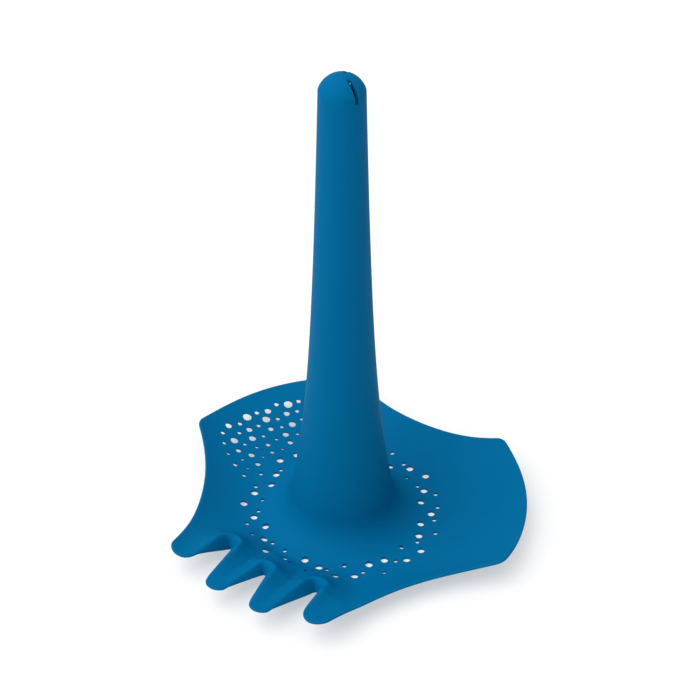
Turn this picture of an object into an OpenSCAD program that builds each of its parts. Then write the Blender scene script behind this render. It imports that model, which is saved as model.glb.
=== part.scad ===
// Upright beach tool: a three-lobed dish with a spade, a sieve and a rake on one hollow tapered handle.
// Millimetres. Z = 0 is the surface that the tool stands on and Z runs up the handle.
// The spade points along +X, the sieve lies at 120 degrees and the rake at 240 degrees.

/* [Dish] */
// Reach of the lobes from the handle's axis
lobe_reach = 105; // [100:1:110]
// Reach of the hollow edge half way between two lobes
gap_reach = 80; // [77:1:83]
// Radius of the hollow edge between two lobes
gap_radius = 138; // [130:1:145]
// Radius of the lobes' corners
corner_radius = 8.3; // [7.5:0.1:9.5]
// Thickness of the dish
wall = 1.6; // [1.4:0.1:2]
// Rise of the lobes' ends above the trough
lobe_rise = 13.7; // [11:0.1:16]
// Rise of the hollow edges above the trough
gap_rise = 11.7; // [10:0.1:14]
// Radius of the flat trough round the handle's foot
trough_r = 48; // [47:0.5:49]

/* [Rake] */
// Distance from one notch to the next
tine_pitch = 29; // [28:0.5:30]
// Radius at the root of a notch
root_radius = 0.9; // [0.8:0.1:1.2]
// Radius of the inner tines' ends
tip_radius = 6.6; // [6.2:0.1:7]
// How far out the root of the middle notch lies
middle_root = 73.7; // [72:0.1:76]
// How far out the roots of the outer notches lie
outer_root = 66.3; // [65:0.1:68]
// How far the middle of the rake stands above the plain dish
rake_lift = 4.3; // [3:0.1:6]
// Height of the ridge that runs round each notch
ridge_height = 8.2; // [7.5:0.1:9]
// How far the skirt inside a ridge drops to the edge of the notch
skirt_drop = 9; // [7:0.1:9.5]
// Width of the skirt at the root of a notch
skirt_width = 5; // [4:0.1:6]

/* [Holes] */
// Diameter of the large holes at the sieve's end
sieve_large = 5.2; // [4.8:0.1:5.4]
// Diameter of the middling holes of the sieve
sieve_middling = 3.9; // [3.4:0.1:4.2]
// Diameter of the small holes
small_hole = 2.6; // [2.2:0.1:2.8]
// Diameter of the large holes round the handle's foot
ring_large = 4.2; // [3.8:0.1:4.6]

/* [Handle] */
// Height of the whole tool
tool_height = 282; // [270:1:296]
// Radius that the handle tapers towards at its top
grip_r = 11.5; // [11:0.1:12]
// Straight taper of the handle, radius for each millimetre of height
taper = 0.024; // [0.022:0.001:0.026]
// Extra radius of the handle's flare at the bottom
flare_r = 15.6; // [15:0.1:16]
// Height over which the flare dies away
flare_length = 65; // [60:1:70]
// Radius of the hollow between the handle's foot and the dish
foot_fillet = 22; // [20:0.5:24]
// Height of the domed end above the handle's rim
dome_rise = 8.4; // [7.5:0.1:9.5]
// Width of the slits in the domed end
slit_width = 2; // [1.4:0.1:2.4]
// Distance of the first slit's inner end from the axis
slit_start = 5.5; // [4:0.5:6.5]
// Distance of the second slit's inner end from the axis
second_slit_start = 3; // [1.8:0.1:4]
// How far the slits run down below the dome's edge
slit_drop = 3; // [2:0.5:5]
// Length of the cap's plug inside the handle
plug_length = 9; // [7:0.5:12]

/* [Hidden] */
blue = "#00699e";
sieve_angle = 120;
rake_angle = 240;
slit_places = [[-49, slit_start], [71, second_slit_start]];
// The dish's rise from the trough, and the rake's own lift and ridges
rise_power = 1.75;
flute_power = 5;
lobe_bend = lobe_rise / pow(lobe_reach - trough_r, rise_power);
gap_bend = gap_rise / pow(gap_reach - trough_r, rise_power);
lift_from = 46;
lift_to = 116;
rake_half_angle = 45;
tip_short = 1;
ridge_spread = 7.5;
ridge_fade = [70, 100];
crest_round = 1.2;
skirt_power = 1.5;
skirt_fade = [70, 96];
least_fade = 0.02;
// Seat of the handle's foot in the dish
seat_outer_r = 41;
seat_inner_r = 36.5;
seat_step = wall / 2;
// Grid of the dish's faces: finer over the rake, whose lines follow the notches, and wider than the outline
sheet_inner_r = seat_inner_r - 3;
seat_clear = 0.7;
foot_rows = 5;
crest_from_r = 58;
crest_to_r = gap_reach + 1;
before_rows = 2;
crest_rows = 11;
after_rows = 8;
coarse_step = 6;
fine_half = 40;
finger_lines = 6;
skirt_lines = 3;
least_skirt = 1.5;
edge_line = 0.5;
void_line = 1;
void_share = 0.6;
trim = 3;
tall = 60;
arc_step = 12;
least_edge = 0.01;
// Fit of the cap in the handle
fit_gap = 0.07;
plug_wall = 1.6;
plug_lead = 0.5;
profile_steps = 24;
fillet_steps = 8;
dome_steps = 12;
$fn = 64;

function polar(r, a) = [r * cos(a), r * sin(a)];
function turned(points, a) = [for (p = points) [p.x * cos(a) - p.y * sin(a), p.x * sin(a) + p.y * cos(a)]];
function reversed(points) = [for (i = [len(points) - 1:-1:0]) points[i]];
function mirrored(points) = [for (p = reversed(points)) [p.x, -p.y]];
// Points without those that repeat the next one
function distinct(points) = let (n = len(points))
    [for (i = [0:n - 1]) if (norm(points[i] - points[(i + 1) % n]) > least_edge) points[i]];
function arc(centre, r, from, to) =
    let (n = max(2, ceil(abs(to - from) * max(1, r / 20) / arc_step)))
    [for (i = [0:n]) centre + polar(r, from + (to - from) * i / n)];

// Outline of the dish: arcs that run counter-clockwise, one lobe after the other
gap_centre_r = gap_reach + gap_radius;
corner_centre_r = lobe_reach - corner_radius;
corner_angle = 60 - acos(
    (pow(corner_centre_r, 2) + pow(gap_centre_r, 2) - pow(gap_radius + corner_radius, 2))
    / (2 * corner_centre_r * gap_centre_r));
gap_centre = polar(gap_centre_r, 60);
corner_centre = polar(corner_centre_r, corner_angle);
corner_to_gap = atan2(gap_centre.y - corner_centre.y, gap_centre.x - corner_centre.x);

// Left side of a lobe, from where its corner starts to the middle of the hollow edge
function lobe_side(corner_start) = concat(
    arc(corner_centre, corner_radius, corner_start, corner_to_gap),
    arc(gap_centre, gap_radius, corner_to_gap + 180, 240));

// Rounds of the tines: centre, radius, and 1 for an end or -1 for the root of a notch
tip_u = sqrt(pow(lobe_reach - tip_short, 2) - pow(tine_pitch / 2, 2)) - tip_radius;
tine_rounds = [
    [[corner_centre.x, -corner_centre.y], corner_radius, 1],
    [[outer_root + root_radius, -tine_pitch], root_radius, -1],
    [[tip_u, -tine_pitch / 2], tip_radius, 1],
    [[middle_root + root_radius, 0], root_radius, -1],
    [[tip_u, tine_pitch / 2], tip_radius, 1],
    [[outer_root + root_radius, tine_pitch], root_radius, -1],
    [corner_centre, corner_radius, 1]];
last_flank = len(tine_rounds) - 2;

// Direction of the straight flank from one round to the next
function flank(i) =
    let (a = tine_rounds[i], b = tine_rounds[i + 1], way = b[0] - a[0])
    atan2(way.y, way.x) + a[2] * asin((a[1] + b[1]) / norm(way));

tine_edge = [for (i = [1:last_flank]) let (t = tine_rounds[i])
    each arc(t[0], t[1], flank(i - 1) - 90 * t[2], flank(i) - 90 * t[2])];
plain_side = lobe_side(corner_angle);
plain_lobe = concat(mirrored(plain_side), arc([0, 0], lobe_reach, -corner_angle, corner_angle), plain_side);
rake_side = lobe_side(flank(last_flank) - 90);
rake_lobe = concat(mirrored(rake_side), tine_edge, rake_side);
dish_outline = distinct(concat(plain_lobe, turned(plain_lobe, sieve_angle), turned(rake_lobe, rake_angle)));

// Height of the dish's underside at radius r and angle a
function off_lobe(a) = let (w = (a % 120 + 120) % 120) min(w, 120 - w);
function off_rake(a) = ((a - rake_angle + 180) % 360 + 360) % 360 - 180;
function plain_rise(r, a) =
    (lobe_bend + (gap_bend - lobe_bend) * pow(sin(1.5 * off_lobe(a)), flute_power))
    * pow(max(r - trough_r, 0), rise_power);
function lift(r, b) =
    rake_lift * max(0, sin(180 * (r - lift_from) / (lift_to - lift_from))) * pow(cos(2 * b), 2);
// Notches: how far out the root lies, and where the middle line lies across the rake
notches = [[outer_root, -tine_pitch], [middle_root, 0], [outer_root, tine_pitch]];
function notch_half(u, root) =
    root_radius + max(u - root - root_radius, 0) * (tine_pitch / 2 - tip_radius) / (tip_u - root);
function from_notch(p, notch) =
    norm([min(p.x - notch[0] - root_radius, 0), p.y - notch[1]]) - notch_half(p.x, notch[0]);
function fade(u, limits) = min(1, max(least_fade, (limits[1] - u) / (limits[1] - limits[0])));
// Ridge round the notches, with the skirt that drops from its crest to the notch's edge and a little past it
function ridge(p) =
    let (gap = min([for (notch = notches) from_notch(p, notch)]),
         skirt = fade(p.x, skirt_fade),
         width = skirt_width * skirt,
         beyond = norm([max(gap - width, 0), crest_round]) - crest_round,
         left = max(1 - max(gap, edge_line) / width, 0),
         past = max(edge_line - max(gap, -void_line), 0) / max(width, least_skirt))
    ridge_height * fade(p.x, ridge_fade) * exp(-beyond / ridge_spread)
    - skirt_drop * skirt * (pow(left, skirt_power) + skirt_power * past * pow(left, skirt_power - 1));
function under_z(r, a) = let (b = off_rake(a))
    plain_rise(r, a) + (r > trough_r && abs(b) < rake_half_angle ? lift(r, b) + ridge(polar(r, b)) : 0);
// The upper face also climbs the hollow round the handle's foot
function foot_rise(r) = foot_fillet - sqrt(pow(foot_fillet, 2) - pow(max(foot_r - r, 0), 2));
function upper_z(r, a) = wall + under_z(r, a) + foot_rise(r);

// Outer edge of the untrimmed sheet, a little beyond the outline
function hollow_edge_r(w) = let (d = 60 - w)
    gap_centre_r * cos(d) - sqrt(max(0, pow(gap_radius, 2) - pow(gap_centre_r * sin(d), 2)));
function sheet_edge_r(a) = let (w = off_lobe(a))
    trim + (w < corner_angle ? lobe_reach : min(lobe_reach, hollow_edge_r(w)));

// Lines of the grid over the rake. A notch line is [notch, side, step of the skirt]: side 0 is the notch's
// middle and step -1 lies inside the notch. A finger line is [notch that follows, share of the way there].
function skirt_line(u, step) =
    edge_line + (max(skirt_width * fade(u, skirt_fade), least_skirt) - edge_line) * step / skirt_lines;
function notch_line(u, k, side, step) =
    let (root = notches[k][0], start = root + root_radius, at = max(u, start), half = notch_half(at, root),
         from_edge = step < 0 ? -min(void_line, void_share * half) : skirt_line(at, step))
    (notches[k][1] + side * (half + from_edge)) * min(u / start, 1);
function notch_angle(r, k, side, step) =
    let (first = notch_line(r, k, side, step))
    asin(notch_line(sqrt(r * r - first * first), k, side, step) / r);
function crest_angle(r, k, side) =
    k < 0 || k >= len(notches) ? -side * fine_half : notch_angle(r, k, side, skirt_lines);
function line_angle(line, r) = is_num(line) ? line : rake_angle + (
    len(line) == 3 ? notch_angle(r, line[0], line[1], line[2])
    : (1 - line[1]) * crest_angle(r, line[0] - 1, 1) + line[1] * crest_angle(r, line[0], -1));
rake_lines = [for (k = [0:len(notches)]) each concat(
    [for (i = [min(k, 1):finger_lines - 1]) [k, i / finger_lines]],
    k == len(notches) ? [] : [for (j = [-skirt_lines - 2:skirt_lines + 2]) [k, sign(j), abs(j) - 2]])];
sheet_lines = concat(
    rake_lines,
    [for (a = [rake_angle + fine_half:coarse_step:rake_angle + 359 - fine_half]) a]);
function steps(from, to, first, n) = [for (i = [first:n]) from + (to - from) * i / n];
function line_end_r(line) =
    max(sheet_edge_r(line_angle(line, crest_to_r)), sheet_edge_r(line_angle(line, lobe_reach)));
function sheet_radii(line) = concat(
    [sheet_inner_r],
    steps(seat_outer_r - seat_clear, foot_r, 0, foot_rows),
    steps(foot_r, crest_from_r, 1, before_rows),
    steps(crest_from_r, crest_to_r, 1, crest_rows),
    steps(crest_to_r, line_end_r(line), 1, after_rows));

// The dish as one closed sheet, before it is trimmed and pierced
module dish_sheet() {
  n = len(sheet_lines);
  m = len(sheet_radii(0));
  places = [for (line = sheet_lines) for (r = sheet_radii(line)) [r, line_angle(line, r)]];
  points = concat(
      [for (p = places) concat(polar(p[0], p[1]), upper_z(p[0], p[1]))],
      [for (p = places) concat(polar(p[0], p[1]), under_z(p[0], p[1]))]);
  under = n * m;
  function at(i, j) = (j % n) * m + i;
  function split(a, b, c, d) = [[a, b, c], [a, c, d]];
  faces = [for (j = [0:n - 1]) each concat(
      [for (i = [0:m - 2]) each split(at(i, j), at(i, j + 1), at(i + 1, j + 1), at(i + 1, j))],
      [for (i = [0:m - 2]) each split(under + at(i, j), under + at(i + 1, j),
                                      under + at(i + 1, j + 1), under + at(i, j + 1))],
      split(at(0, j + 1), at(0, j), under + at(0, j), under + at(0, j + 1)),
      split(at(m - 1, j), at(m - 1, j + 1), under + at(m - 1, j + 1), under + at(m - 1, j)))];
  polyhedron(points, faces);
}

// Handle: radius of its outside and direction of its surface at height z
function trumpet_r(z) = grip_r + taper * (rim_z - z) + flare_r * exp(-z / flare_length);
function trumpet_normal(z) =
    let (slope = -taper - flare_r / flare_length * exp(-z / flare_length))
    [1, -slope] / norm([1, -slope]);
rim_z = tool_height - dome_rise;
rim_r = trumpet_r(rim_z);
// Height at which the hollow at the foot meets the handle, found by repeated steps
meet_rounds = 10;
function meet_z(z, left) = left == 0 ? z
    : meet_z(wall + foot_fillet * (1 - trumpet_normal(z).y), left - 1);
foot_z = meet_z(wall + foot_fillet, meet_rounds);
foot_normal = trumpet_normal(foot_z);
foot_centre = [trumpet_r(foot_z), foot_z] + foot_fillet * foot_normal;
foot_r = foot_centre.x;
foot_end = 180 + atan2(foot_normal.y, foot_normal.x);
inner_fillet = foot_fillet + wall;
seat_turn = 180 + acos((foot_r - seat_outer_r) / foot_fillet);
seat_inner_turn = 180 + acos((foot_r - seat_inner_r) / inner_fillet);
bore_z = rim_z - plug_length;
bore_r = trumpet_r(bore_z) - wall;

handle_heights = steps(foot_z, bore_z, 1, profile_steps);
handle_outside = concat(
    [[seat_outer_r, seat_step]],
    [for (turn = steps(seat_turn, foot_end, 0, fillet_steps)) foot_centre + polar(foot_fillet, turn)],
    [for (z = handle_heights) [trumpet_r(z), z]],
    [[rim_r, rim_z]]);
handle_inside = concat(
    [[bore_r, rim_z], [bore_r, bore_z]],
    [for (i = [profile_steps - 2:-1:0]) let (z = handle_heights[i])
        [trumpet_r(z), z] - wall * trumpet_normal(z)],
    [for (turn = steps(foot_end, seat_inner_turn, 0, fillet_steps)) foot_centre + polar(inner_fillet, turn)],
    [[seat_inner_r, seat_step]]);

// Domed cap: a slice of a ball on the handle's rim, with a plug below it
dome_r = (rim_r * rim_r + dome_rise * dome_rise) / (2 * dome_rise);
dome_centre = [0, tool_height - dome_r];
plug_r = bore_r - fit_gap;
plug_inner_r = plug_r - plug_wall;
dome_inner_r = dome_r - wall;
function dome_arc(r, reach) =
    [for (turn = steps(90, 90 - asin(reach / r), 0, dome_steps)) dome_centre + polar(r, turn)];
cap_profile = concat(
    dome_arc(dome_r, rim_r),
    [[plug_r, rim_z], [plug_r, bore_z + plug_lead], [plug_r - plug_lead, bore_z], [plug_inner_r, bore_z]],
    reversed(dome_arc(dome_inner_r, plug_inner_r)));

// Holes round the foot: one at every step, whose distance swings by the golden angle
ring_count = 64;
ring_mid_r = 51.2;
ring_swing = 5.6;
ring_first = 0.5;
golden_angle = 137.5;
ring_cycle = [ring_large, small_hole];
ring_holes = [for (i = [0:ring_count - 1])
    [ring_mid_r + ring_swing * sin(golden_angle * i), ring_first + 360 * i / ring_count,
     ring_cycle[i % len(ring_cycle)]]];

// Holes of the sieve: rows of arcs across the lobe, with sizes in turn and shrinking inwards
sieve_rows = 5;
sieve_outer_r = 91.6;
sieve_row_step = 7;
sieve_half_angle = 28;
sieve_widening = 3.6;
sieve_pitch = 6.9;
sieve_swing = 1.3;
sieve_shrink = 0.1;
sieve_cycle = [sieve_large, small_hole, sieve_middling, small_hole];
sieve_holes = [for (j = [0:sieve_rows - 1])
    let (r = sieve_outer_r - j * sieve_row_step,
         half = sieve_half_angle + j * sieve_widening,
         n = round(2 * half * PI / 180 * r / sieve_pitch))
    for (i = [0:n - 1])
        [r + sieve_swing * sin(golden_angle * (i + 3 * j)), sieve_angle - half + 2 * half * (i + 0.5) / n,
         sieve_cycle[(i + 3 + j * (j + 1) / 2) % len(sieve_cycle)] * (1 - sieve_shrink * j)]];

module pierce(holes) {
  for (h = holes)
    rotate(h[1])
      translate([h[0], 0, -1])
        cylinder(d = h[2], h = tall);
}

// Thin three-lobed dish with a stepped seat for the handle's foot
module blade_dish() {
  color(blue)
    difference() {
      intersection() {
        dish_sheet();
        translate([0, 0, -1])
          linear_extrude(tall)
            polygon(dish_outline);
      }
      translate([0, 0, -1])
        cylinder(r = seat_inner_r, h = tall);
      translate([0, 0, seat_step])
        cylinder(r = seat_outer_r, h = tall);
      pierce(ring_holes);
      pierce(sieve_holes);
    }
}

// Slits that run from the dome down into the handle's rim
module slits() {
  for (slit = slit_places)
    rotate(slit[0])
      translate([slit[1], 0, rim_z - slit_drop])
        linear_extrude(tall)
          union() {
            translate([0, -slit_width / 2])
              square([rim_r, slit_width]);
            circle(d = slit_width);
          }
}

// Hollow trumpet-shaped handle, open below
module handle() {
  color(blue)
    difference() {
      rotate_extrude()
        polygon(concat(handle_outside, handle_inside));
      slits();
    }
}

// Domed end with a plug that enters the handle
module end_cap() {
  color(blue)
    difference() {
      rotate_extrude()
        polygon(cap_profile);
      slits();
    }
}

blade_dish();
handle();
end_cap();
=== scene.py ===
# %% [markdown]
# # An upright sand tool
# The tool is a shallow dish of blue plastic with three lobes, on a tall hollow handle. One lobe is a spade,
# one is pierced as a sieve and one is cut into the tines of a rake. We build three pieces, the dish, the
# handle and the domed end, and each of them takes the place of the plain solid of the same part. The solids
# come first, because they fix the size and the place of everything that follows.

# %% Load the frame
import math

import bmesh
import bpy
import numpy as np
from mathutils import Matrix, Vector
from mathutils.geometry import delaunay_2d_cdt


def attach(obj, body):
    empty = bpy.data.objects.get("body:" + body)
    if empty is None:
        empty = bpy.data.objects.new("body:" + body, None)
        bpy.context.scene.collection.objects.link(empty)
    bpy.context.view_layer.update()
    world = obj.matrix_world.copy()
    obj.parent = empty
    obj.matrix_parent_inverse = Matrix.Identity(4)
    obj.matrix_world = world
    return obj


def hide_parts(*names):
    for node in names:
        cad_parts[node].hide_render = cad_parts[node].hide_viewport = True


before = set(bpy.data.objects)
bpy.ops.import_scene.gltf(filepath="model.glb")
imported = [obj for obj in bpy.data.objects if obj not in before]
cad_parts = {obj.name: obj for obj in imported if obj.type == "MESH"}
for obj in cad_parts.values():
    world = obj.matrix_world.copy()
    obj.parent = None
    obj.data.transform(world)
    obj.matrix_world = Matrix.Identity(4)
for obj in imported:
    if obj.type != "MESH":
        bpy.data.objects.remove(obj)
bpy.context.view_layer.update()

# %% [markdown]
# ## Units and a first helper
# A moulding like this is drawn in millimetres, while Blender counts in metres. We work in millimetres all
# the way and turn to metres in one place only, where a list of points becomes a mesh. Angles are in
# degrees, with the spade at 0, the sieve at 120 and the rake at 240, seen from above.

# %% Units
MM = 0.001
SIEVE_ANGLE = 120.0
RAKE_ANGLE = 240.0


def make_piece(name, points, faces):
    """An object at the origin, from points in millimetres."""
    mesh = bpy.data.meshes.new(name)
    mesh.from_pydata((np.asarray(points) * MM).tolist(), [], faces)
    mesh.update()
    shape = bmesh.new()
    shape.from_mesh(mesh)
    bmesh.ops.recalc_face_normals(shape, faces=shape.faces)
    shape.to_mesh(mesh)
    shape.free()
    mesh.shade_smooth()
    piece = bpy.data.objects.new(name, mesh)
    bpy.context.scene.collection.objects.link(piece)
    return piece


def point_at(radius, angle):
    return radius * np.array([math.cos(math.radians(angle)), math.sin(math.radians(angle))])


print("one millimetre is", MM, "of Blender's units")

# %% [markdown]
# ## The outline of the dish
# Seen from above the edge is a chain of arcs: a wide one round the end of each lobe, a small one at each
# corner and a long hollow one between two lobes. The rake has rounded tines instead of the wide arc. We
# could trace the photo point by point, but then nothing could be adjusted afterwards. Arcs that touch each
# other need only a handful of sizes, and the corners stay smooth whatever the sizes are.

# %% Arcs of a plain lobe
LOBE_REACH = 105.0
GAP_REACH = 80.0
GAP_RADIUS = 138.0
CORNER_RADIUS = 8.3
EDGE_STEP = 1.1
ARC_TURN = 9.0

gap_centre_reach = GAP_REACH + GAP_RADIUS
corner_centre_reach = LOBE_REACH - CORNER_RADIUS
corner_angle = 60 - math.degrees(math.acos(
    (corner_centre_reach ** 2 + gap_centre_reach ** 2 - (GAP_RADIUS + CORNER_RADIUS) ** 2)
    / (2 * corner_centre_reach * gap_centre_reach)))
gap_centre = point_at(gap_centre_reach, 60)
corner_centre = point_at(corner_centre_reach, corner_angle)
to_gap = gap_centre - corner_centre
corner_to_gap = math.degrees(math.atan2(to_gap[1], to_gap[0]))


def arc(centre, radius, start, stop):
    """Points along an arc, close enough together for its length and for its turn."""
    turn = abs(stop - start)
    steps = max(2, math.ceil(turn / ARC_TURN), math.ceil(math.radians(turn) * radius / EDGE_STEP))
    angles = np.radians(np.linspace(start, stop, steps + 1))
    return np.asarray(centre) + radius * np.column_stack([np.cos(angles), np.sin(angles)])


def mirrored(points):
    return points[::-1] * [1, -1]


def turned(points, angle):
    c, s = point_at(1, angle)
    return points @ np.array([[c, s], [-s, c]])


def lobe_side(corner_start):
    """From the start of a lobe's corner to the middle of the hollow edge beside it."""
    return np.vstack([arc(corner_centre, CORNER_RADIUS, corner_start, corner_to_gap),
                      arc(gap_centre, GAP_RADIUS, corner_to_gap + 180, 240)])


plain_side = lobe_side(corner_angle)
lobe_end = arc((0, 0), LOBE_REACH, -corner_angle, corner_angle)
plain_lobe = np.vstack([mirrored(plain_side), lobe_end, plain_side])
print("plain lobe:", len(plain_lobe), "points, corner at", round(corner_angle, 1), "degrees")

# %% [markdown]
# ## The tines of the rake
# A tine and a notch are both round, and a straight flank runs from one round to the next. A line that
# touches two circles on opposite sides is an inner tangent, and its direction follows from the two radii
# and the distance. So we list the rounds in order and let the tangents give the flanks.

# %% Tines
TINE_PITCH = 29.0
ROOT_RADIUS = 0.9
TIP_RADIUS = 6.6
MIDDLE_ROOT = 73.7
OUTER_ROOT = 66.3
TIP_SHORT = 1.0

tip_out = math.sqrt((LOBE_REACH - TIP_SHORT) ** 2 - (TINE_PITCH / 2) ** 2) - TIP_RADIUS
half_rounds = [
    (np.array([MIDDLE_ROOT + ROOT_RADIUS, 0]), ROOT_RADIUS, -1),
    (np.array([tip_out, TINE_PITCH / 2]), TIP_RADIUS, 1),
    (np.array([OUTER_ROOT + ROOT_RADIUS, TINE_PITCH]), ROOT_RADIUS, -1),
    (corner_centre, CORNER_RADIUS, 1)]
tine_rounds = [(c * [1, -1], r, side) for c, r, side in half_rounds[:0:-1]] + half_rounds


def flank(i):
    """Direction of the straight edge from round i to the next one."""
    (centre, radius, side), (after, after_radius, _) = tine_rounds[i:i + 2]
    way = after - centre
    lean = math.asin((radius + after_radius) / np.linalg.norm(way))
    return math.degrees(math.atan2(way[1], way[0]) + side * lean)


tine_edge = np.vstack([
    arc(centre, radius, flank(i - 1) - 90 * side, flank(i) - 90 * side)
    for i, (centre, radius, side) in enumerate(tine_rounds[:-1]) if i > 0])
rake_side = lobe_side(flank(len(tine_rounds) - 2) - 90)
rake_lobe = np.vstack([mirrored(rake_side), tine_edge, rake_side])
print("rake lobe:", len(rake_lobe), "points round", len(tine_rounds), "rounds")

# %% [markdown]
# The three lobes follow each other round the axis. Long straight flanks get points of their own, so that
# the edge can follow the rise of the dish, and each point gets the direction that leads out of the dish.

# %% Whole outline
LEAST_STEP = 0.05


def closed_edge(points):
    """The same closed edge without repeated points and without long steps."""
    even = []
    for a, b in zip(points, np.roll(points, -1, axis=0)):
        length = np.linalg.norm(b - a)
        if length > LEAST_STEP:
            steps = max(1, round(length / EDGE_STEP))
            even.extend(a + (b - a) * i / steps for i in range(steps))
    return np.array(even)


def outward(edge):
    ahead = np.roll(edge, -1, axis=0) - edge
    ahead /= np.linalg.norm(ahead, axis=1)[:, None]
    along = ahead + np.roll(ahead, 1, axis=0)
    along /= np.linalg.norm(along, axis=1)[:, None]
    return np.column_stack([along[:, 1], -along[:, 0]])


outline = closed_edge(np.vstack([plain_lobe, turned(plain_lobe, SIEVE_ANGLE), turned(rake_lobe, RAKE_ANGLE)]))
outline_out = outward(outline)
print("outline:", len(outline), "points")

# %% [markdown]
# ## How the dish rises
# The dish is flat round the handle's foot and bends up towards the edge. Between the lobes it bends more,
# because the edge is nearer there. One power of the distance from the trough gives the bend, and a power of
# a sine carries it from lobe to gap. The rake has forms of its own: its middle is lifted, a ridge runs
# round each notch and dies away towards the tips, and inside the ridge a steep skirt drops to the edge of
# the notch. Written as a formula, the surface can be asked for its height anywhere.

# %% Height of the middle of the wall
WALL = 1.6
LOBE_RISE = 13.7
GAP_RISE = 11.7
TROUGH_RADIUS = 48.0
RISE_POWER = 1.75
FLUTE_POWER = 5
RAKE_LIFT = 4.3
LIFT_FROM, LIFT_TO = 46.0, 116.0
RAKE_HALF_ANGLE = 45.0
RAKE_START = (46.0, 56.0)
RAKE_SIDE = (0.0, 12.0)
RIDGE_HEIGHT = 8.2
RIDGE_SPREAD = 7.5
RIDGE_FADE = (70.0, 100.0)
CREST_ROUND = 1.2
SKIRT_DROP = 9.0
SKIRT_WIDTH = 5.0
SKIRT_POWER = 1.5
SKIRT_FADE = (70.0, 96.0)
LEAST_FADE = 0.02
NOTCHES = ((OUTER_ROOT, -TINE_PITCH), (MIDDLE_ROOT, 0.0), (OUTER_ROOT, TINE_PITCH))

lobe_bend = LOBE_RISE / (LOBE_REACH - TROUGH_RADIUS) ** RISE_POWER
gap_bend = GAP_RISE / (GAP_REACH - TROUGH_RADIUS) ** RISE_POWER


def from_notch(out, across):
    """Distance from the edge of the nearest notch."""
    distances = []
    for root, middle in NOTCHES:
        past = out - root - ROOT_RADIUS
        spread = (TINE_PITCH / 2 - TIP_RADIUS) / (tip_out - root)
        distances.append(np.hypot(np.minimum(past, 0), across - middle) - np.maximum(past, 0) * spread)
    return np.maximum(np.min(distances, axis=0) - ROOT_RADIUS, 0)


def fade(out, limits):
    """One at the nearer limit and almost nothing from the farther one on."""
    return np.clip((limits[1] - out) / (limits[1] - limits[0]), LEAST_FADE, 1)


def smooth_step(value, limits):
    """Nothing up to the nearer limit, one from the farther one on, and a smooth rise between them."""
    share = np.clip((value - limits[0]) / (limits[1] - limits[0]), 0, 1)
    return share * share * (3 - 2 * share)


def rake_form(radius, off):
    """Lift and ridges of the rake, at an angle off its middle line."""
    out, across = radius * np.cos(np.radians(off)), radius * np.sin(np.radians(off))
    swell = np.sin(np.pi * (radius - LIFT_FROM) / (LIFT_TO - LIFT_FROM))
    lift = RAKE_LIFT * np.maximum(swell, 0) * np.cos(np.radians(2 * off)) ** 2
    gap = from_notch(out, across)
    skirt_width = SKIRT_WIDTH * fade(out, SKIRT_FADE)
    beyond = np.hypot(np.maximum(gap - skirt_width, 0), CREST_ROUND) - CREST_ROUND
    ridge = RIDGE_HEIGHT * fade(out, RIDGE_FADE) * np.exp(-beyond / RIDGE_SPREAD)
    drop = SKIRT_DROP * fade(out, SKIRT_FADE) * np.maximum(1 - gap / skirt_width, 0) ** SKIRT_POWER
    start = smooth_step(radius, RAKE_START) * smooth_step(RAKE_HALF_ANGLE - np.abs(off), RAKE_SIDE)
    return start * (lift + ridge - drop)


def dish_height(plan):
    """Height of the middle of the wall over points of the plan."""
    radius = np.hypot(plan[:, 0], plan[:, 1])
    angle = np.degrees(np.arctan2(plan[:, 1], plan[:, 0]))
    past_lobe = np.mod(angle, 120)
    off_lobe = np.minimum(past_lobe, 120 - past_lobe)
    off_rake = np.mod(angle - RAKE_ANGLE + 180, 360) - 180
    bend = lobe_bend + (gap_bend - lobe_bend) * np.sin(np.radians(1.5 * off_lobe)) ** FLUTE_POWER
    rise = bend * np.maximum(radius - TROUGH_RADIUS, 0) ** RISE_POWER
    return WALL / 2 + rise + rake_form(radius, off_rake)


print("height of the edge:", np.round([dish_height(outline).min(), dish_height(outline).max()], 1), "mm")

# %% [markdown]
# ## The profile of the handle
# The handle tapers gently and flares out at the foot like a trumpet: a straight taper plus a term that dies
# away with height. A wide round hollow leads from the flare to the dish. The parting of the two pieces lies
# in the middle of that hollow, so the dish must climb the last part of it to the stepped seat where the
# handle's foot ends.

# %% Trumpet and foot
TOOL_HEIGHT = 282.0
DOME_RISE = 8.4
GRIP_RADIUS = 11.5
TAPER = 0.024
FLARE_RADIUS = 15.6
FLARE_LENGTH = 65.0
FOOT_FILLET = 22.0
SEAT_OUTER = 41.0
SEAT_INNER = 36.5
MEET_ROUNDS = 10

rim_height = TOOL_HEIGHT - DOME_RISE


def trumpet(z):
    return GRIP_RADIUS + TAPER * (rim_height - z) + FLARE_RADIUS * np.exp(-z / FLARE_LENGTH)


def trumpet_out(z):
    """Direction that leads out of the handle, as steps in radius and height."""
    steep = TAPER + FLARE_RADIUS / FLARE_LENGTH * np.exp(-z / FLARE_LENGTH)
    return np.array([1, steep]) / math.hypot(1, steep)


foot_height = WALL + FOOT_FILLET
for _ in range(MEET_ROUNDS):
    foot_height = WALL + FOOT_FILLET * (1 - trumpet_out(foot_height)[1])
foot_out = trumpet_out(foot_height)
foot_centre = np.array([trumpet(foot_height), foot_height]) + FOOT_FILLET * foot_out
foot_radius = foot_centre[0]
seat_step = WALL / 2
inner_fillet = FOOT_FILLET + WALL


def foot_rise(radius):
    """How far the hollow round the foot stands above the flat of the dish."""
    inward = np.maximum(foot_radius - radius, 0)
    return FOOT_FILLET - np.sqrt(FOOT_FILLET ** 2 - inward ** 2)


seat_rise = round(foot_rise(SEAT_OUTER), 2)
print("foot: the hollow ends at", round(foot_radius, 2), "and is", seat_rise, "mm up at the seat")

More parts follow.
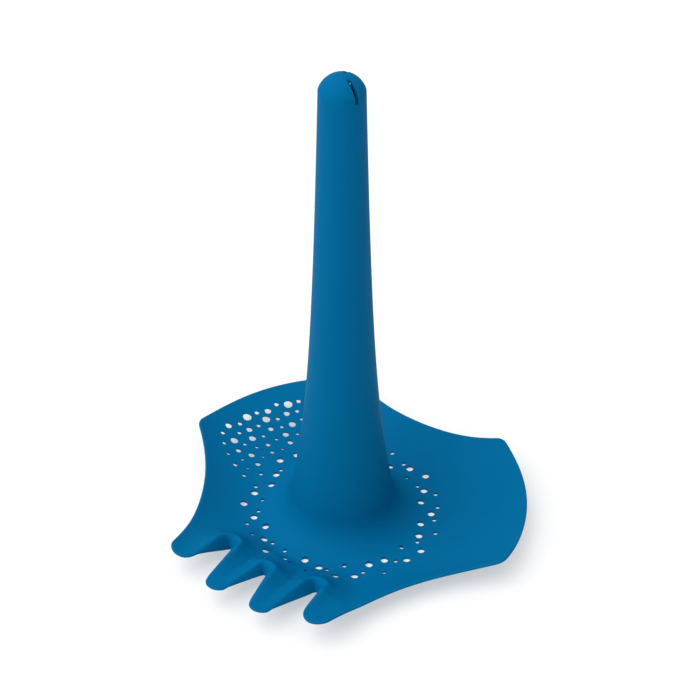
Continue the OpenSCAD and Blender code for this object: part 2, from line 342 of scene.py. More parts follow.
# %% [markdown]
# ## The sheet of the dish
# A grid of squares would leave a ragged edge, and a fan of rays would crowd in the notches. Instead we
# scatter points in a honeycomb over the plan, with rows along the steep notches, and let a Delaunay
# triangulation join them to the exact edge. Every point is then lifted to its height and pushed half the
# wall's thickness up and down along the surface's own direction.

# %% Plan of the sheet
GRID_STEP = 1.5
FINE_STEP = 0.7
FINE_WITHIN = 9.0
EDGE_CLEAR = 0.85
NOTCH_ROWS = 14
NOTCH_ROW_STEP = 0.4
TURNS = 144
SEAT_RINGS = (0.0, 0.3, 0.8)
GRID_PARTS = 40
JOIN_WITHIN = 1e-5

half_wall = WALL / 2
rim = outline - outline_out * half_wall
around = np.array([point_at(1, 360 * i / TURNS) for i in range(TURNS)])
seat_rings = np.vstack([radius * around for radius in SEAT_OUTER + np.array(SEAT_RINGS)])


def honeycomb(reach, step):
    rows = np.arange(-reach, reach, step * math.sqrt(3) / 2)
    columns = np.arange(-reach, reach, step)
    shift = (np.arange(len(rows)) % 2) * step / 2
    return np.array([(x + s, y) for y, s in zip(rows, shift) for x in columns])


def near_notch(points):
    out, across = turned(points, -RAKE_ANGLE).T
    return (from_notch(out, across) < FINE_WITHIN) & (out > TROUGH_RADIUS) & (out < SKIRT_FADE[1])


def inside(points, edge):
    """Which points lie inside a closed edge: a ray from each crosses it an odd number of times."""
    odd = np.zeros(len(points), bool)
    for a, b in zip(edge, np.roll(edge, -1, axis=0)):
        between = (a[1] > points[:, 1]) != (b[1] > points[:, 1])
        if between.any():
            cross = a[0] + (points[:, 1] - a[1]) / (b[1] - a[1]) * (b[0] - a[0])
            odd ^= between & (points[:, 0] < cross)
    return odd


coarse, fine = honeycomb(LOBE_REACH, GRID_STEP), honeycomb(LOBE_REACH, FINE_STEP)
grid = np.vstack([coarse[~near_notch(coarse)], fine[near_notch(fine)]])
grid = grid[np.hypot(grid[:, 0], grid[:, 1]) > SEAT_OUTER + SEAT_RINGS[-1] + EDGE_CLEAR * GRID_STEP]
grid = grid[inside(grid, rim)]
near = np.concatenate([np.linalg.norm(part[:, None] - rim[None], axis=2).min(axis=1)
                       for part in np.array_split(grid, GRID_PARTS)])
notch_rim = near_notch(rim)
notch_rows = np.vstack([
    (rim - outline_out * NOTCH_ROW_STEP * k)[notch_rim] for k in range(1, NOTCH_ROWS + 1)])
clear = np.where(near_notch(grid), NOTCH_ROW_STEP * NOTCH_ROWS, 0) + EDGE_CLEAR * FINE_STEP
grid = np.vstack([grid[near > clear], notch_rows])
print("plan:", len(rim), "edge points,", len(grid), "inner points")

# %% Triangles of the plan


def loop_edges(start, count):
    return [(start + i, start + (i + 1) % count) for i in range(count)]


plan_points = np.vstack([rim, seat_rings, grid])
plan_edges = loop_edges(0, len(rim)) + loop_edges(len(rim), TURNS)
joined = delaunay_2d_cdt([Vector(p) for p in plan_points], plan_edges, [], 1, JOIN_WITHIN)
plan = np.array([tuple(v) for v in joined[0]])
place_of = {source: k for k, sources in enumerate(joined[3]) for source in sources}
centres = np.array([plan[list(face)].mean(axis=0) for face in joined[2]])
plan_faces = [tuple(face) for face, centre in zip(joined[2], centres) if np.hypot(*centre) > SEAT_OUTER]
rim_places = [place_of[i] for i in range(len(rim))]
seat_places = [place_of[len(rim) + i] for i in range(TURNS)]
print("plan:", len(plan), "points and", len(plan_faces), "triangles")

# %% [markdown]
# The rim of a moulded sheet is rounded. We sweep a half circle from the upper to the lower face round the
# whole edge, standing square to the surface. On the inside the wall steps down to the seat for the handle.

# %% Faces of the sheet
RIM_STEPS = 8
SLOPE_STEP = 0.05


def surface_up(points):
    """Direction square to the dish at points of the plan."""
    slope_x = dish_height(points + [SLOPE_STEP, 0]) - dish_height(points - [SLOPE_STEP, 0])
    slope_y = dish_height(points + [0, SLOPE_STEP]) - dish_height(points - [0, SLOPE_STEP])
    up = np.column_stack([-slope_x, -slope_y, np.full(len(points), 2 * SLOPE_STEP)])
    return up / np.linalg.norm(up, axis=1)[:, None]


middle = np.column_stack([plan, dish_height(plan)])
up = surface_up(plan)
rim_up = up[rim_places]
rim_out = np.column_stack([outline_out, np.zeros(len(rim))])
rim_out -= rim_up * (rim_out * rim_up).sum(axis=1)[:, None]
rim_out /= np.linalg.norm(rim_out, axis=1)[:, None]

hollow = np.column_stack([np.zeros((len(plan), 2)), foot_rise(np.hypot(plan[:, 0], plan[:, 1]))])
sheet_points = [middle + up * half_wall + hollow, middle - up * half_wall]
sheet_faces = list(plan_faces) + [tuple(len(plan) + i for i in face[::-1]) for face in plan_faces]
point_count = 2 * len(plan)


def strip(first, second):
    """Four-sided faces between two closed rows of points."""
    return [(a, b, d, c) for a, b, c, d in zip(first, np.roll(first, -1), second, np.roll(second, -1))]


def add_row(points):
    global point_count
    sheet_points.append(points)
    point_count += len(points)
    return np.arange(point_count - len(points), point_count)


row = np.array(rim_places)
for i in range(1, RIM_STEPS):
    turn = math.pi * (0.5 - i / RIM_STEPS)
    after = add_row(middle[rim_places] + half_wall * (math.cos(turn) * rim_out + math.sin(turn) * rim_up))
    sheet_faces += strip(row, after)
    row = after
sheet_faces += strip(row, np.array(rim_places) + len(plan))

row = np.array(seat_places)
for radius, height in [(SEAT_OUTER, seat_step), (SEAT_INNER, seat_step), (SEAT_INNER, 0)]:
    after = add_row(np.column_stack([radius * around, np.full(TURNS, height)]))
    sheet_faces += strip(after, row)
    row = after
sheet_faces += strip(np.array(seat_places) + len(plan), row)

dish = make_piece("dish", np.vstack(sheet_points), [tuple(int(i) for i in face) for face in sheet_faces])
print("sheet:", len(dish.data.vertices), "points and", len(dish.data.polygons), "faces")

# %% [markdown]
# ## Tools for node trees
# The holes repeat by a rule, so Geometry Nodes will make them: a tree holds the rule, and its inputs hold
# the sizes. Building a tree in code is wordy, so we write small helpers first: one for a tree with named
# sockets, one for a node, and one for a sum. A last helper runs a tree on a piece and keeps the result as a
# plain mesh.

# %% Helpers for trees
SOCKETS = {"geometry": "NodeSocketGeometry", "float": "NodeSocketFloat", "int": "NodeSocketInt",
           "material": "NodeSocketMaterial", "color": "NodeSocketColor", "vector": "NodeSocketVector"}


def new_tree(name, kind, inputs, outputs):
    tree = bpy.data.node_groups.new(name, kind)
    for label, socket in inputs:
        tree.interface.new_socket(label, in_out="INPUT", socket_type=SOCKETS[socket])
    for label, socket in outputs:
        tree.interface.new_socket(label, in_out="OUTPUT", socket_type=SOCKETS[socket])
    return tree, tree.nodes.new("NodeGroupInput").outputs, tree.nodes.new("NodeGroupOutput").inputs


def feed(tree, socket, value):
    if isinstance(value, bpy.types.NodeSocket):
        tree.links.new(value, socket)
    else:
        socket.default_value = value


def add(tree, kind, values=(), **settings):
    """A node with its settings made and its inputs fed, by name or by number."""
    node = tree.nodes.new(kind)
    for key, value in settings.items():
        setattr(node, key, value)
    for key, value in dict(values).items():
        feed(tree, node.inputs[key], value)
    return node


def calc(tree, operation, *values):
    return add(tree, "ShaderNodeMath", enumerate(values), operation=operation).outputs[0]


def run_tree(piece, tree, values):
    """Runs a tree on a piece, with its inputs set by identifier, and keeps the plain mesh."""
    modifier = piece.modifiers.new(tree.name, "NODES")
    modifier.node_group = tree
    for socket in tree.interface.items_tree:
        if socket.in_out == "INPUT" and socket.name in values:
            modifier[socket.identifier] = values[socket.name]
    mesh = bpy.data.meshes.new_from_object(piece.evaluated_get(bpy.context.evaluated_depsgraph_get()))
    piece.modifiers.remove(modifier)
    piece.data = mesh
    return mesh


print("sockets:", ", ".join(SOCKETS))

# %% [markdown]
# ## One row of holes
# Every row works alike: its holes stand at even angles, their distance swings a little by the golden angle
# so that no line shows, and large, middling and small ones take turns. Each hole is cut by a cone that
# widens downwards, as the pin of a mould does so that the piece comes off. A ray cast down on the sheet
# finds where the cone goes and which way it leans.

# %% Tree for a row
GOLDEN_ANGLE = 137.5
HOLE_SIDES = 28
CUT_OVER = 0.6
RAY_FROM = 60.0
SIZE_NAMES = ("Large", "Middling", "Small")


def hole_row_tree():
    tree, given, result = new_tree(
        "hole_row", "GeometryNodeTree",
        [("Sheet", "geometry"), ("Count", "int"), ("Radius", "float"), ("Swing", "float"), ("Shift", "int"),
         ("First angle", "float"), ("Angle step", "float"), ("Cycle length", "int"), ("Cycle start", "int"),
         ("Large", "float"), ("Middling", "float"), ("Small", "float"), ("Widening", "float"),
         ("Lean", "float"), ("Depth", "float")],
        [("Cutters", "geometry")])
    index = add(tree, "GeometryNodeInputIndex").outputs[0]
    golden = calc(tree, "MULTIPLY", calc(tree, "ADD", index, given["Shift"]), math.radians(GOLDEN_ANGLE))
    radius = calc(tree, "MULTIPLY_ADD", calc(tree, "SINE", golden), given["Swing"], given["Radius"])
    angle = calc(tree, "MULTIPLY_ADD", index, given["Angle step"], given["First angle"])
    start = add(tree, "ShaderNodeCombineXYZ", {
        "X": calc(tree, "MULTIPLY", radius, calc(tree, "COSINE", angle)),
        "Y": calc(tree, "MULTIPLY", radius, calc(tree, "SINE", angle)),
        "Z": RAY_FROM * MM}).outputs[0]
    ray = add(tree, "GeometryNodeRaycast", {
        "Target Geometry": given["Sheet"], "Source Position": start, "Ray Direction": (0, 0, -1)})
    points = add(tree, "GeometryNodePoints", {
        "Count": given["Count"], "Position": ray.outputs["Hit Position"]}).outputs[0]
    upright = add(tree, "ShaderNodeCombineXYZ", {"X": given["Lean"], "Y": given["Lean"], "Z": 1.0}).outputs[0]
    aim = add(tree, "ShaderNodeVectorMath", {0: ray.outputs["Hit Normal"], 1: upright}, operation="MULTIPLY")
    lean = add(tree, "FunctionNodeAlignRotationToVector", {"Vector": aim.outputs[0]}, axis="Z")
    turn = calc(tree, "MODULO", calc(tree, "ADD", index, given["Cycle start"]), given["Cycle length"])
    kind = calc(tree, "MULTIPLY", calc(tree, "MODULO", turn, 2), 2)
    kind = calc(tree, "ADD", kind, calc(tree, "COMPARE", turn, 2, 0.1))
    below = calc(tree, "SUBTRACT", -CUT_OVER * MM, given["Depth"])
    sink = add(tree, "ShaderNodeCombineXYZ", {"Z": below}).outputs[0]
    cutters = add(tree, "GeometryNodeJoinGeometry")
    for number, name in enumerate(SIZE_NAMES):
        half = calc(tree, "DIVIDE", given[name], 2)
        cone = add(tree, "GeometryNodeMeshCone", {
            "Vertices": HOLE_SIDES, "Depth": calc(tree, "ADD", given["Depth"], 2 * CUT_OVER * MM),
            "Radius Top": calc(tree, "MULTIPLY_ADD", given["Widening"], -CUT_OVER / WALL, half),
            "Radius Bottom": calc(tree, "MULTIPLY_ADD", given["Widening"], 1 + CUT_OVER / WALL, half)})
        sunk = add(tree, "GeometryNodeTransform", {
            "Geometry": cone.outputs["Mesh"], "Translation": sink})
        placed = add(tree, "GeometryNodeInstanceOnPoints", {
            "Points": points, "Selection": calc(tree, "COMPARE", kind, number, 0.1),
            "Instance": sunk.outputs[0], "Rotation": lean.outputs[0]})
        tree.links.new(placed.outputs[0], cutters.inputs[0])
    tree.links.new(cutters.outputs[0], result["Cutters"])
    return tree


hole_row = hole_row_tree()
print("tree", hole_row.name, "has", len(hole_row.nodes), "nodes")

# %% [markdown]
# ## All the holes
# One row runs right round the foot of the handle, and five rows fill the sieve, each a little shorter and
# with finer holes than the one outside it. The cutters of all the rows are taken from the sheet in a single
# cut.

# %% Rows of the dish
RING_COUNT = 64
RING_RADIUS = 51.2
RING_SWING = 5.6
RING_FIRST = 0.5
RING_CYCLE = 2
RING_LARGE = 4.2
SIEVE_ROWS = 5
SIEVE_RADIUS = 91.6
SIEVE_ROW_STEP = 7.0
SIEVE_HALF_ANGLE = 28.0
SIEVE_WIDENING = 3.6
SIEVE_PITCH = 6.9
SIEVE_SWING = 1.3
SIEVE_SHRINK = 0.1
SIEVE_CYCLE = 4
SIEVE_CYCLE_START = 3
SIEVE_SHIFT = 3
SIEVE_LARGE = 5.2
SIEVE_MIDDLING = 3.9
SMALL_HOLE = 2.6
HOLE_WIDENING = 0.5

ring_inside = RING_RADIUS - RING_SWING - RING_LARGE / 2
rows = [{"Count": RING_COUNT, "Radius": RING_RADIUS, "Swing": RING_SWING, "Shift": 0,
         "First angle": RING_FIRST, "Angle step": 360 / RING_COUNT, "Cycle length": RING_CYCLE,
         "Cycle start": 0, "Lean": 0.0, "Depth": WALL + foot_rise(ring_inside), "scale": 1.0, "ring": True}]
for j in range(SIEVE_ROWS):
    row_radius = SIEVE_RADIUS - j * SIEVE_ROW_STEP
    row_half = SIEVE_HALF_ANGLE + j * SIEVE_WIDENING
    row_count = round(2 * math.radians(row_half) * row_radius / SIEVE_PITCH)
    row_step = 2 * row_half / row_count
    rows.append({"Count": row_count, "Radius": row_radius, "Swing": SIEVE_SWING,
                 "Shift": SIEVE_SHIFT * j, "Cycle start": SIEVE_CYCLE_START + j * (j + 1) // 2,
                 "First angle": SIEVE_ANGLE - row_half + row_step / 2, "Angle step": row_step,
                 "Cycle length": SIEVE_CYCLE, "Lean": 1.0, "Depth": WALL,
                 "scale": 1 - SIEVE_SHRINK * j, "ring": False})
print("holes:", [row["Count"] for row in rows])

# %% Tree for the pierced dish
RING_SIZES = ("Ring large", "Small", "Small")
SIEVE_SIZES = ("Sieve large", "Sieve middling", "Small")


def pierced_tree():
    tree, given, result = new_tree(
        "pierced_dish", "GeometryNodeTree",
        [("Geometry", "geometry"), ("Sieve large", "float"), ("Sieve middling", "float"),
         ("Ring large", "float"), ("Small", "float"), ("Widening", "float"), ("Finish", "material")],
        [("Geometry", "geometry")])
    cutters = add(tree, "GeometryNodeJoinGeometry")
    for row in rows:
        group = add(tree, "GeometryNodeGroup", node_tree=hole_row)
        for name, size in zip(SIZE_NAMES, RING_SIZES if row["ring"] else SIEVE_SIZES):
            feed(tree, group.inputs[name], calc(tree, "MULTIPLY", given[size], row["scale"]))
        for name in ("Count", "Shift", "Cycle length", "Cycle start"):
            group.inputs[name].default_value = row[name]
        for name in ("Radius", "Swing", "Depth"):
            group.inputs[name].default_value = row[name] * MM
        group.inputs["Lean"].default_value = row["Lean"]
        for name in ("First angle", "Angle step"):
            group.inputs[name].default_value = math.radians(row[name])
        feed(tree, group.inputs["Sheet"], given["Geometry"])
        feed(tree, group.inputs["Widening"], given["Widening"])
        tree.links.new(group.outputs[0], cutters.inputs[0])
    cones = add(tree, "GeometryNodeRealizeInstances", {0: cutters.outputs[0]}).outputs[0]
    cut = add(tree, "GeometryNodeMeshBoolean", {"Mesh 1": given["Geometry"]}, operation="DIFFERENCE",
              solver="MANIFOLD")
    tree.links.new(cones, cut.inputs["Mesh 2"])
    whole = add(tree, "GeometryNodeRealizeInstances", {0: cut.outputs[0]}).outputs[0]
    finished = add(tree, "GeometryNodeSetMaterial", {"Geometry": whole, "Material": given["Finish"]})
    tree.links.new(finished.outputs[0], result["Geometry"])
    return tree


pierced_dish = pierced_tree()
print("tree", pierced_dish.name, "joins", len(rows), "rows")

# %% [markdown]
# ## The finish
# The plastic is a deep blue with a satin skin. Up close a moulded skin is never one flat colour: it carries
# the fine grain of the mould, and clouds of slightly different tone and gloss from the way that the plastic
# cooled. Both the dish and the handle need this, so it is one node group with named inputs, and each
# material sets its own values. Textures read Object coordinates, because the pieces stay at the origin.

# %% Group for the moulded skin
CLOUD_SCALE = 26.0
FLOW_SCALE = 90.0
FLOW_SHARE = 0.5
CLOUD_DETAIL = 3.0
FLOW_DETAIL = 4.0
GRAIN_DETAIL = 2.0


def moulded_skin_group():
    tree, given, result = new_tree(
        "moulded_skin", "ShaderNodeTree",
        [("Colour", "color"), ("Cloud", "float"), ("Roughness", "float"), ("Gloss change", "float"),
         ("Grain scale", "float"), ("Stretch", "vector")],
        [("Colour", "color"), ("Roughness", "float"), ("Height", "float")])
    place = add(tree, "ShaderNodeTexCoord").outputs["Object"]
    stretched = add(tree, "ShaderNodeVectorMath", {0: place, 1: given["Stretch"]}, operation="MULTIPLY")
    drawn = stretched.outputs[0]

    def noise(where, scale, detail):
        return add(tree, "ShaderNodeTexNoise", {"Vector": where, "Scale": scale, "Detail": detail}).outputs[0]

    cloud = noise(drawn, CLOUD_SCALE, CLOUD_DETAIL)
    flow = noise(drawn, FLOW_SCALE, FLOW_DETAIL)
    grain = noise(place, given["Grain scale"], GRAIN_DETAIL)
    both = calc(tree, "MULTIPLY_ADD", flow, FLOW_SHARE, cloud)
    swing = calc(tree, "SUBTRACT", both, 0.5 * (1 + FLOW_SHARE))
    tone = calc(tree, "MULTIPLY_ADD", swing, given["Cloud"], 1.0)
    shaded = add(tree, "ShaderNodeVectorMath", {0: given["Colour"], "Scale": tone}, operation="SCALE")
    shade = shaded.outputs[0]
    rough = calc(tree, "MULTIPLY_ADD", swing, given["Gloss change"], given["Roughness"])
    rough = calc(tree, "MULTIPLY_ADD", calc(tree, "SUBTRACT", grain, 0.5), given["Gloss change"], rough)
    tree.links.new(shade, result["Colour"])
    tree.links.new(rough, result["Roughness"])
    tree.links.new(grain, result["Height"])
    return tree


moulded_skin = moulded_skin_group()
print("group", moulded_skin.name, "has", len(moulded_skin.nodes), "nodes")

# %% Blue plastic
BLUE = (0.0, 0.12, 0.277, 1.0)
CLOUD = 0.10
GLOSS_CHANGE = 0.10
GRAIN_SCALE = 1500.0
GRAIN_DEPTH = 0.05
GRAIN_STRENGTH = 0.25
PLASTIC_IOR = 1.49
PLASTIC_SPECULAR = 0.015
DISH_ROUGHNESS = 0.55
HANDLE_ROUGHNESS = 0.53
PLAIN = (1.0, 1.0, 1.0)
DRAWN_OUT = (1.0, 1.0, 0.35)


def plastic(name, roughness, stretch):
    material = bpy.data.materials.new(name)
    material.use_nodes = True
    tree = material.node_tree
    shader = tree.nodes["Principled BSDF"]
    skin = add(tree, "ShaderNodeGroup", node_tree=moulded_skin)
    for label, value in {"Colour": BLUE, "Cloud": CLOUD, "Roughness": roughness, "Gloss change": GLOSS_CHANGE,
                         "Grain scale": GRAIN_SCALE, "Stretch": stretch}.items():
        skin.inputs[label].default_value = value
    bump = add(tree, "ShaderNodeBump", {"Height": skin.outputs["Height"], "Strength": GRAIN_STRENGTH,
                                        "Distance": GRAIN_DEPTH * MM})
    tree.links.new(skin.outputs["Colour"], shader.inputs["Base Color"])
    tree.links.new(skin.outputs["Roughness"], shader.inputs["Roughness"])
    tree.links.new(bump.outputs[0], shader.inputs["Normal"])
    shader.inputs["IOR"].default_value = PLASTIC_IOR
    shader.inputs["Specular IOR Level"].default_value = PLASTIC_SPECULAR
    return material


dish_plastic = plastic("dish_plastic", DISH_ROUGHNESS, PLAIN)
handle_plastic = plastic("handle_plastic", HANDLE_ROUGHNESS, DRAWN_OUT)
print("materials:", dish_plastic.name, handle_plastic.name)

# %% [markdown]
# Now the tree runs on the sheet. Its sizes go in by the sockets' identifiers, before anything is evaluated.
# Edges sharper than a limit are then marked, so that the flat of the dish shades smoothly up to each hole.

# %% Pierce the dish
SHARP_ANGLE = 40.0

run_tree(dish, pierced_dish, {
    "Sieve large": SIEVE_LARGE * MM, "Sieve middling": SIEVE_MIDDLING * MM, "Ring large": RING_LARGE * MM,
    "Small": SMALL_HOLE * MM, "Widening": HOLE_WIDENING * MM, "Finish": dish_plastic})
dish.data.shade_smooth()
dish.data.set_sharp_from_angle(angle=math.radians(SHARP_ANGLE))
print("pierced dish:", len(dish.data.vertices), "points and", len(dish.data.polygons), "faces")

# %% [markdown]
# ## The handle
# A turned shape could be a curve with a bevel or a Screw modifier. Here the profile is already a formula,
# so we set out its points, outside and inside, and carry them round the axis ourselves. The profile is a
# closed loop, so the shell is closed too: open below, hollow all the way up, with a straight bore at the
# top for the cap's plug.

# %% Turn a profile


def turned_piece(name, profile):
    """A closed profile of radius and height carried round the axis. Points on the axis are used once."""
    points, rings = [], []
    for radius, height in profile:
        first = len(points)
        if radius < LEAST_STEP:
            points.append((0, 0, height))
            rings.append([first] * TURNS)
        else:
            points.extend((*point_at(radius, 360 * i / TURNS), height) for i in range(TURNS))
            rings.append(list(range(first, first + TURNS)))
    faces = []
    for low, high in zip(rings, rings[1:] + rings[:1]):
        for i in range(TURNS):
            corners = [low[i - 1], low[i], high[i], high[i - 1]]
            face = tuple(dict.fromkeys(corners))
            if len(face) > 2:
                faces.append(face)
    return make_piece(name, points, faces)


def fillet(centre, radius, start, stop, steps):
    angles = np.radians(np.linspace(start, stop, steps + 1))
    return [(centre[0] + radius * math.cos(a), centre[1] + radius * math.sin(a)) for a in angles]


print("turned shapes use", TURNS, "steps round the axis")

# %% Handle
PLUG_LENGTH = 9.0
PROFILE_STEPS = 70
FILLET_STEPS = 44
SEAM_ROUND = 0.1
SEAM_TURN = (30, 90)
SEAM_STEPS = 3

bore_height = rim_height - PLUG_LENGTH
bore_radius = trumpet(bore_height) - WALL
rim_radius = trumpet(rim_height)
foot_end = 180 + math.degrees(math.atan2(foot_out[1], foot_out[0]))
seat_turn = 180 + math.degrees(math.acos((foot_radius - SEAT_OUTER) / FOOT_FILLET))
seat_inner_turn = 180 + math.degrees(math.acos((foot_radius - SEAT_INNER) / inner_fillet))
heights = np.linspace(foot_height, rim_height - SEAM_ROUND, PROFILE_STEPS)[1:]
inner_heights = np.linspace(bore_height, foot_height, PROFILE_STEPS)[1:-1]
handle_profile = (
    [(SEAT_OUTER, seat_step)]
    + fillet(foot_centre, FOOT_FILLET, seat_turn, foot_end, FILLET_STEPS)
    + [(trumpet(z), z) for z in heights]
    + fillet((rim_radius - SEAM_ROUND, rim_height - SEAM_ROUND), SEAM_ROUND, *SEAM_TURN, SEAM_STEPS)
    + [(bore_radius, rim_height), (bore_radius, bore_height)]
    + [tuple(np.array([trumpet(z), z]) - WALL * trumpet_out(z)) for z in inner_heights]
    + fillet(foot_centre, inner_fillet, foot_end, seat_inner_turn, FILLET_STEPS)
    + [(SEAT_INNER, seat_step)])
handle = turned_piece("handle_shell", handle_profile)
print("handle:", len(handle.data.polygons), "faces, rim radius", round(rim_radius, 2), "mm")

# %% [markdown]
# ## The domed end
# The end is a slice of a ball that meets the handle at a soft crease, with a plug below it. Two slits run
# from near the top over the crease and a little way down the handle. They repeat, and both pieces need
# them, so a tree cuts them: a bar with a round end, set at even turns round the axis and taken from
# whichever piece is given.

# %% Dome
PLUG_WALL = 1.6
PLUG_LEAD = 0.5
FIT_GAP = 0.07
DOME_STEPS = 22

dome_radius = (rim_radius ** 2 + DOME_RISE ** 2) / (2 * DOME_RISE)
dome_centre = (0, TOOL_HEIGHT - dome_radius)
dome_edge = 90 - math.degrees(math.asin((rim_radius - SEAM_ROUND / 2) / dome_radius))
plug_radius = bore_radius - FIT_GAP
plug_inner = plug_radius - PLUG_WALL
hollow_edge = 90 - math.degrees(math.asin(plug_inner / (dome_radius - WALL)))
cap_profile = (
    fillet(dome_centre, dome_radius, 90, dome_edge, DOME_STEPS)
    + [(rim_radius - SEAM_ROUND, rim_height)]
    + [(plug_radius, rim_height), (plug_radius, bore_height + PLUG_LEAD)]
    + [(plug_radius - PLUG_LEAD, bore_height), (plug_inner, bore_height)]
    + fillet(dome_centre, dome_radius - WALL, hollow_edge, 90, DOME_STEPS))
cap = turned_piece("domed_end", cap_profile)
print("domed end:", len(cap.data.polygons), "faces, ball radius", round(dome_radius, 2), "mm")

# %% Tree for the slits
SLIT_HEIGHT = 24.0
ROUND_SIDES = 24


def slit_tree():
    tree, given, result = new_tree(
        "slits", "GeometryNodeTree",
        [("Geometry", "geometry"), ("Count", "int"), ("First angle", "float"), ("Angle step", "float"),
         ("Width", "float"), ("Start", "float"), ("Start step", "float"), ("Length", "float"),
         ("Height above", "float"), ("Finish", "material")],
        [("Geometry", "geometry")])
    size = add(tree, "ShaderNodeCombineXYZ", {
        "X": given["Length"], "Y": given["Width"], "Z": SLIT_HEIGHT * MM})
    bar = add(tree, "GeometryNodeMeshCube", {"Size": size.outputs[0]}).outputs[0]
    middle = calc(tree, "MULTIPLY_ADD", given["Length"], 0.5, given["Start"])
    raised = calc(tree, "ADD", given["Height above"], SLIT_HEIGHT * MM / 2)
    bar_place = add(tree, "ShaderNodeCombineXYZ", {"X": middle, "Z": raised}).outputs[0]
    bar = add(tree, "GeometryNodeTransform", {"Geometry": bar, "Translation": bar_place}).outputs[0]
    half = calc(tree, "DIVIDE", given["Width"], 2)
    end = add(tree, "GeometryNodeMeshCylinder", {
        "Vertices": ROUND_SIDES, "Radius": half, "Depth": SLIT_HEIGHT * MM}).outputs["Mesh"]
    end_place = add(tree, "ShaderNodeCombineXYZ", {"X": given["Start"], "Z": raised}).outputs[0]
    end = add(tree, "GeometryNodeTransform", {"Geometry": end, "Translation": end_place}).outputs[0]
    slit = add(tree, "GeometryNodeMeshBoolean", operation="UNION", solver="EXACT")
    for part in (bar, end):
        tree.links.new(part, slit.inputs["Mesh 2"])
    index = add(tree, "GeometryNodeInputIndex").outputs[0]
    angle = calc(tree, "MULTIPLY_ADD", index, given["Angle step"], given["First angle"])
    turn = add(tree, "ShaderNodeCombineXYZ", {"Z": angle})
    outward_by = calc(tree, "MULTIPLY", index, given["Start step"])
    place = add(tree, "ShaderNodeCombineXYZ", {
        "X": calc(tree, "MULTIPLY", outward_by, calc(tree, "COSINE", angle)),
        "Y": calc(tree, "MULTIPLY", outward_by, calc(tree, "SINE", angle))}).outputs[0]
    points = add(tree, "GeometryNodePoints", {"Count": given["Count"], "Position": place}).outputs[0]
    slits = add(tree, "GeometryNodeInstanceOnPoints", {
        "Points": points, "Instance": slit.outputs[0], "Rotation": turn.outputs[0]}).outputs[0]
    cutters = add(tree, "GeometryNodeRealizeInstances", {0: slits}).outputs[0]
    cut = add(tree, "GeometryNodeMeshBoolean", {"Mesh 1": given["Geometry"]}, operation="DIFFERENCE",
              solver="EXACT")
    tree.links.new(cutters, cut.inputs["Mesh 2"])
    whole = add(tree, "GeometryNodeRealizeInstances", {0: cut.outputs[0]}).outputs[0]
    finished = add(tree, "GeometryNodeSetMaterial", {"Geometry": whole, "Material": given["Finish"]})
    tree.links.new(finished.outputs[0], result["Geometry"])
    return tree


slits = slit_tree()
print("tree", slits.name, "has", len(slits.nodes), "nodes")

# %% Cut the slits
SLIT_ANGLES = (-49.0, 71.0)
SLIT_STARTS = (5.5, 3.0)
SLIT_WIDTH = 2.0
SLIT_LENGTH = 14.0
SLIT_DROP = 3.0

for piece in (handle, cap):
    run_tree(piece, slits, {
        "Count": len(SLIT_ANGLES), "First angle": math.radians(SLIT_ANGLES[0]),
        "Angle step": math.radians(SLIT_ANGLES[1] - SLIT_ANGLES[0]), "Width": SLIT_WIDTH * MM,
        "Start": SLIT_STARTS[0] * MM, "Start step": (SLIT_STARTS[1] - SLIT_STARTS[0]) * MM,
        "Length": SLIT_LENGTH * MM, "Height above": (rim_height - SLIT_DROP) * MM, "Finish": handle_plastic})
    piece.data.shade_smooth()
    piece.data.set_sharp_from_angle(angle=math.radians(SHARP_ANGLE))
    print(piece.name, "with slits:", len(piece.data.polygons), "faces")

# %% [markdown]
# ## Hand the pieces to the frame
# Each piece rides on the one body of the part and stands for the solid of the same name.

# %% Ride and replace
for piece, node in ((dish, "blade_dish"), (handle, "handle"), (cap, "end_cap")):
    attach(piece, "root")
    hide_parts(node)
    print(piece.name, "stands for", node)

# %% [markdown]
# ## Floor and light
# The tool stands on a plain white table under soft light: a wide white sky that is brighter above and on
# the left, and a large lamp high on the left that models the round handle. The paper glows a little itself,
# so that it stays white next to the tool.

# %% Floor
FLOOR_HALF = 15.0
PAPER_WHITE = 0.45
PAPER_GLOW = 0.48
PAPER_ROUGHNESS = 0.9
PAPER_SPECULAR = 0.1

floor_corners = [(x * FLOOR_HALF, y * FLOOR_HALF, 0) for x, y in ((-1, -1), (1, -1), (1, 1), (-1, 1))]
floor_mesh = bpy.data.meshes.new("floor")
floor_mesh.from_pydata(floor_corners, [], [(0, 1, 2, 3)])
floor = bpy.data.objects.new("floor", floor_mesh)
bpy.context.scene.collection.objects.link(floor)
paper = bpy.data.materials.new("white_paper")
paper.use_nodes = True
paper_shader = paper.node_tree.nodes["Principled BSDF"]
paper_shader.inputs["Base Color"].default_value = (PAPER_WHITE, PAPER_WHITE, PAPER_WHITE, 1)
paper_shader.inputs["Emission Color"].default_value = (1, 1, 1, 1)
paper_shader.inputs["Emission Strength"].default_value = PAPER_GLOW
paper_shader.inputs["Roughness"].default_value = PAPER_ROUGHNESS
paper_shader.inputs["Specular IOR Level"].default_value = PAPER_SPECULAR
floor_mesh.materials.append(paper)
print("floor:", 2 * FLOOR_HALF, "m wide")

# %% Light
SKY_STRENGTH = 0.41
SKY_LEFT = 0.24
SKY_TOP = 0.6
LAMP_PLACE = (-3.4, -1.8, 6.3)
LAMP_AIM = (0.0, 0.0, 0.1)
LAMP_POWER = 410.0
LAMP_SIZE = 7.0

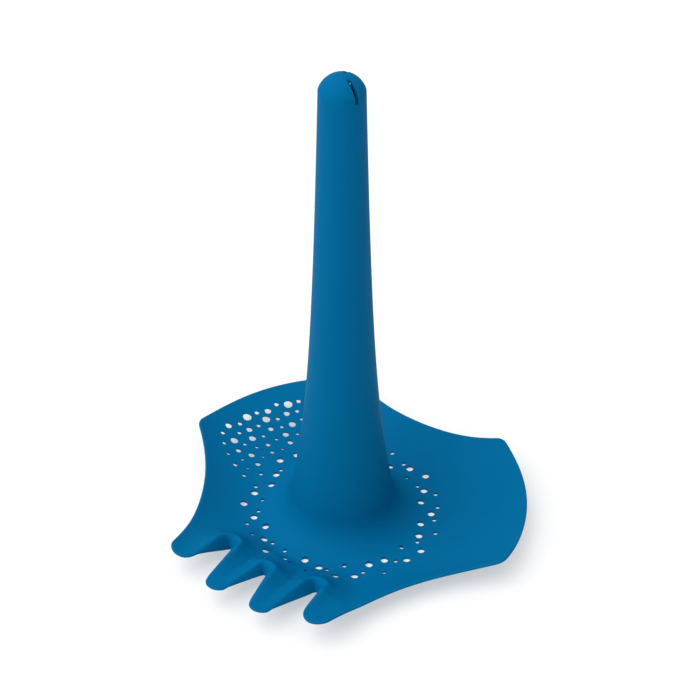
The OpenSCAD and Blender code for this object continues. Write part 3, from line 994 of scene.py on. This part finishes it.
world = bpy.data.worlds.new("studio")
bpy.context.scene.world = world
world.use_nodes = True
sky = world.node_tree
background = sky.nodes["Background"].inputs
towards = add(sky, "ShaderNodeTexCoord").outputs["Generated"]
direction = add(sky, "ShaderNodeSeparateXYZ", {0: towards}).outputs
above = calc(sky, "MULTIPLY_ADD", direction["Z"], SKY_TOP, SKY_STRENGTH)
feed(sky, background["Strength"], calc(sky, "MULTIPLY_ADD", direction["X"], -SKY_LEFT, above))
background["Color"].default_value = (1, 1, 1, 1)

light = bpy.data.lights.new("left_lamp", "AREA")
light.energy = LAMP_POWER
light.size = LAMP_SIZE
lamp = bpy.data.objects.new("left_lamp", light)
lamp.location = LAMP_PLACE
lamp.rotation_euler = (Vector(LAMP_AIM) - Vector(LAMP_PLACE)).to_track_quat("-Z", "Y").to_euler()
bpy.context.scene.collection.objects.link(lamp)
bpy.context.scene.view_settings.view_transform = "Standard"
print("light: sky", SKY_STRENGTH, "and a lamp on the left")

# %% [markdown]
# ## The camera
# The photo's view was worked out from the tool's own outline: how far the camera stands from the axis, how
# high it is and how steeply it looks down. The tool is a little left of the middle of the picture, which is
# a small sideways shift of the lens.

# %% Camera
PICTURE = 700.0
SENSOR = 36.0
FOCAL_PIXELS = 1693.2
AXIS_PIXEL = 342.02
CAMERA_REACH = 0.7137
CAMERA_HEIGHT = 0.6678
CAMERA_ANGLE = -85.51
LOOK_DOWN = 37.65

lens = bpy.data.cameras.new("camera")
lens.sensor_width = SENSOR
lens.lens = FOCAL_PIXELS * SENSOR / PICTURE
lens.shift_x = 0.5 - AXIS_PIXEL / PICTURE
camera = bpy.data.objects.new("camera", lens)
camera.location = (*(CAMERA_REACH * point_at(1, CAMERA_ANGLE)), CAMERA_HEIGHT)
camera.rotation_euler = (math.radians(90 - LOOK_DOWN), 0, math.radians(CAMERA_ANGLE + 90))
bpy.context.scene.collection.objects.link(camera)
bpy.context.scene.camera = camera
print("camera: lens", round(lens.lens, 1), "mm, shift", round(lens.shift_x, 4))
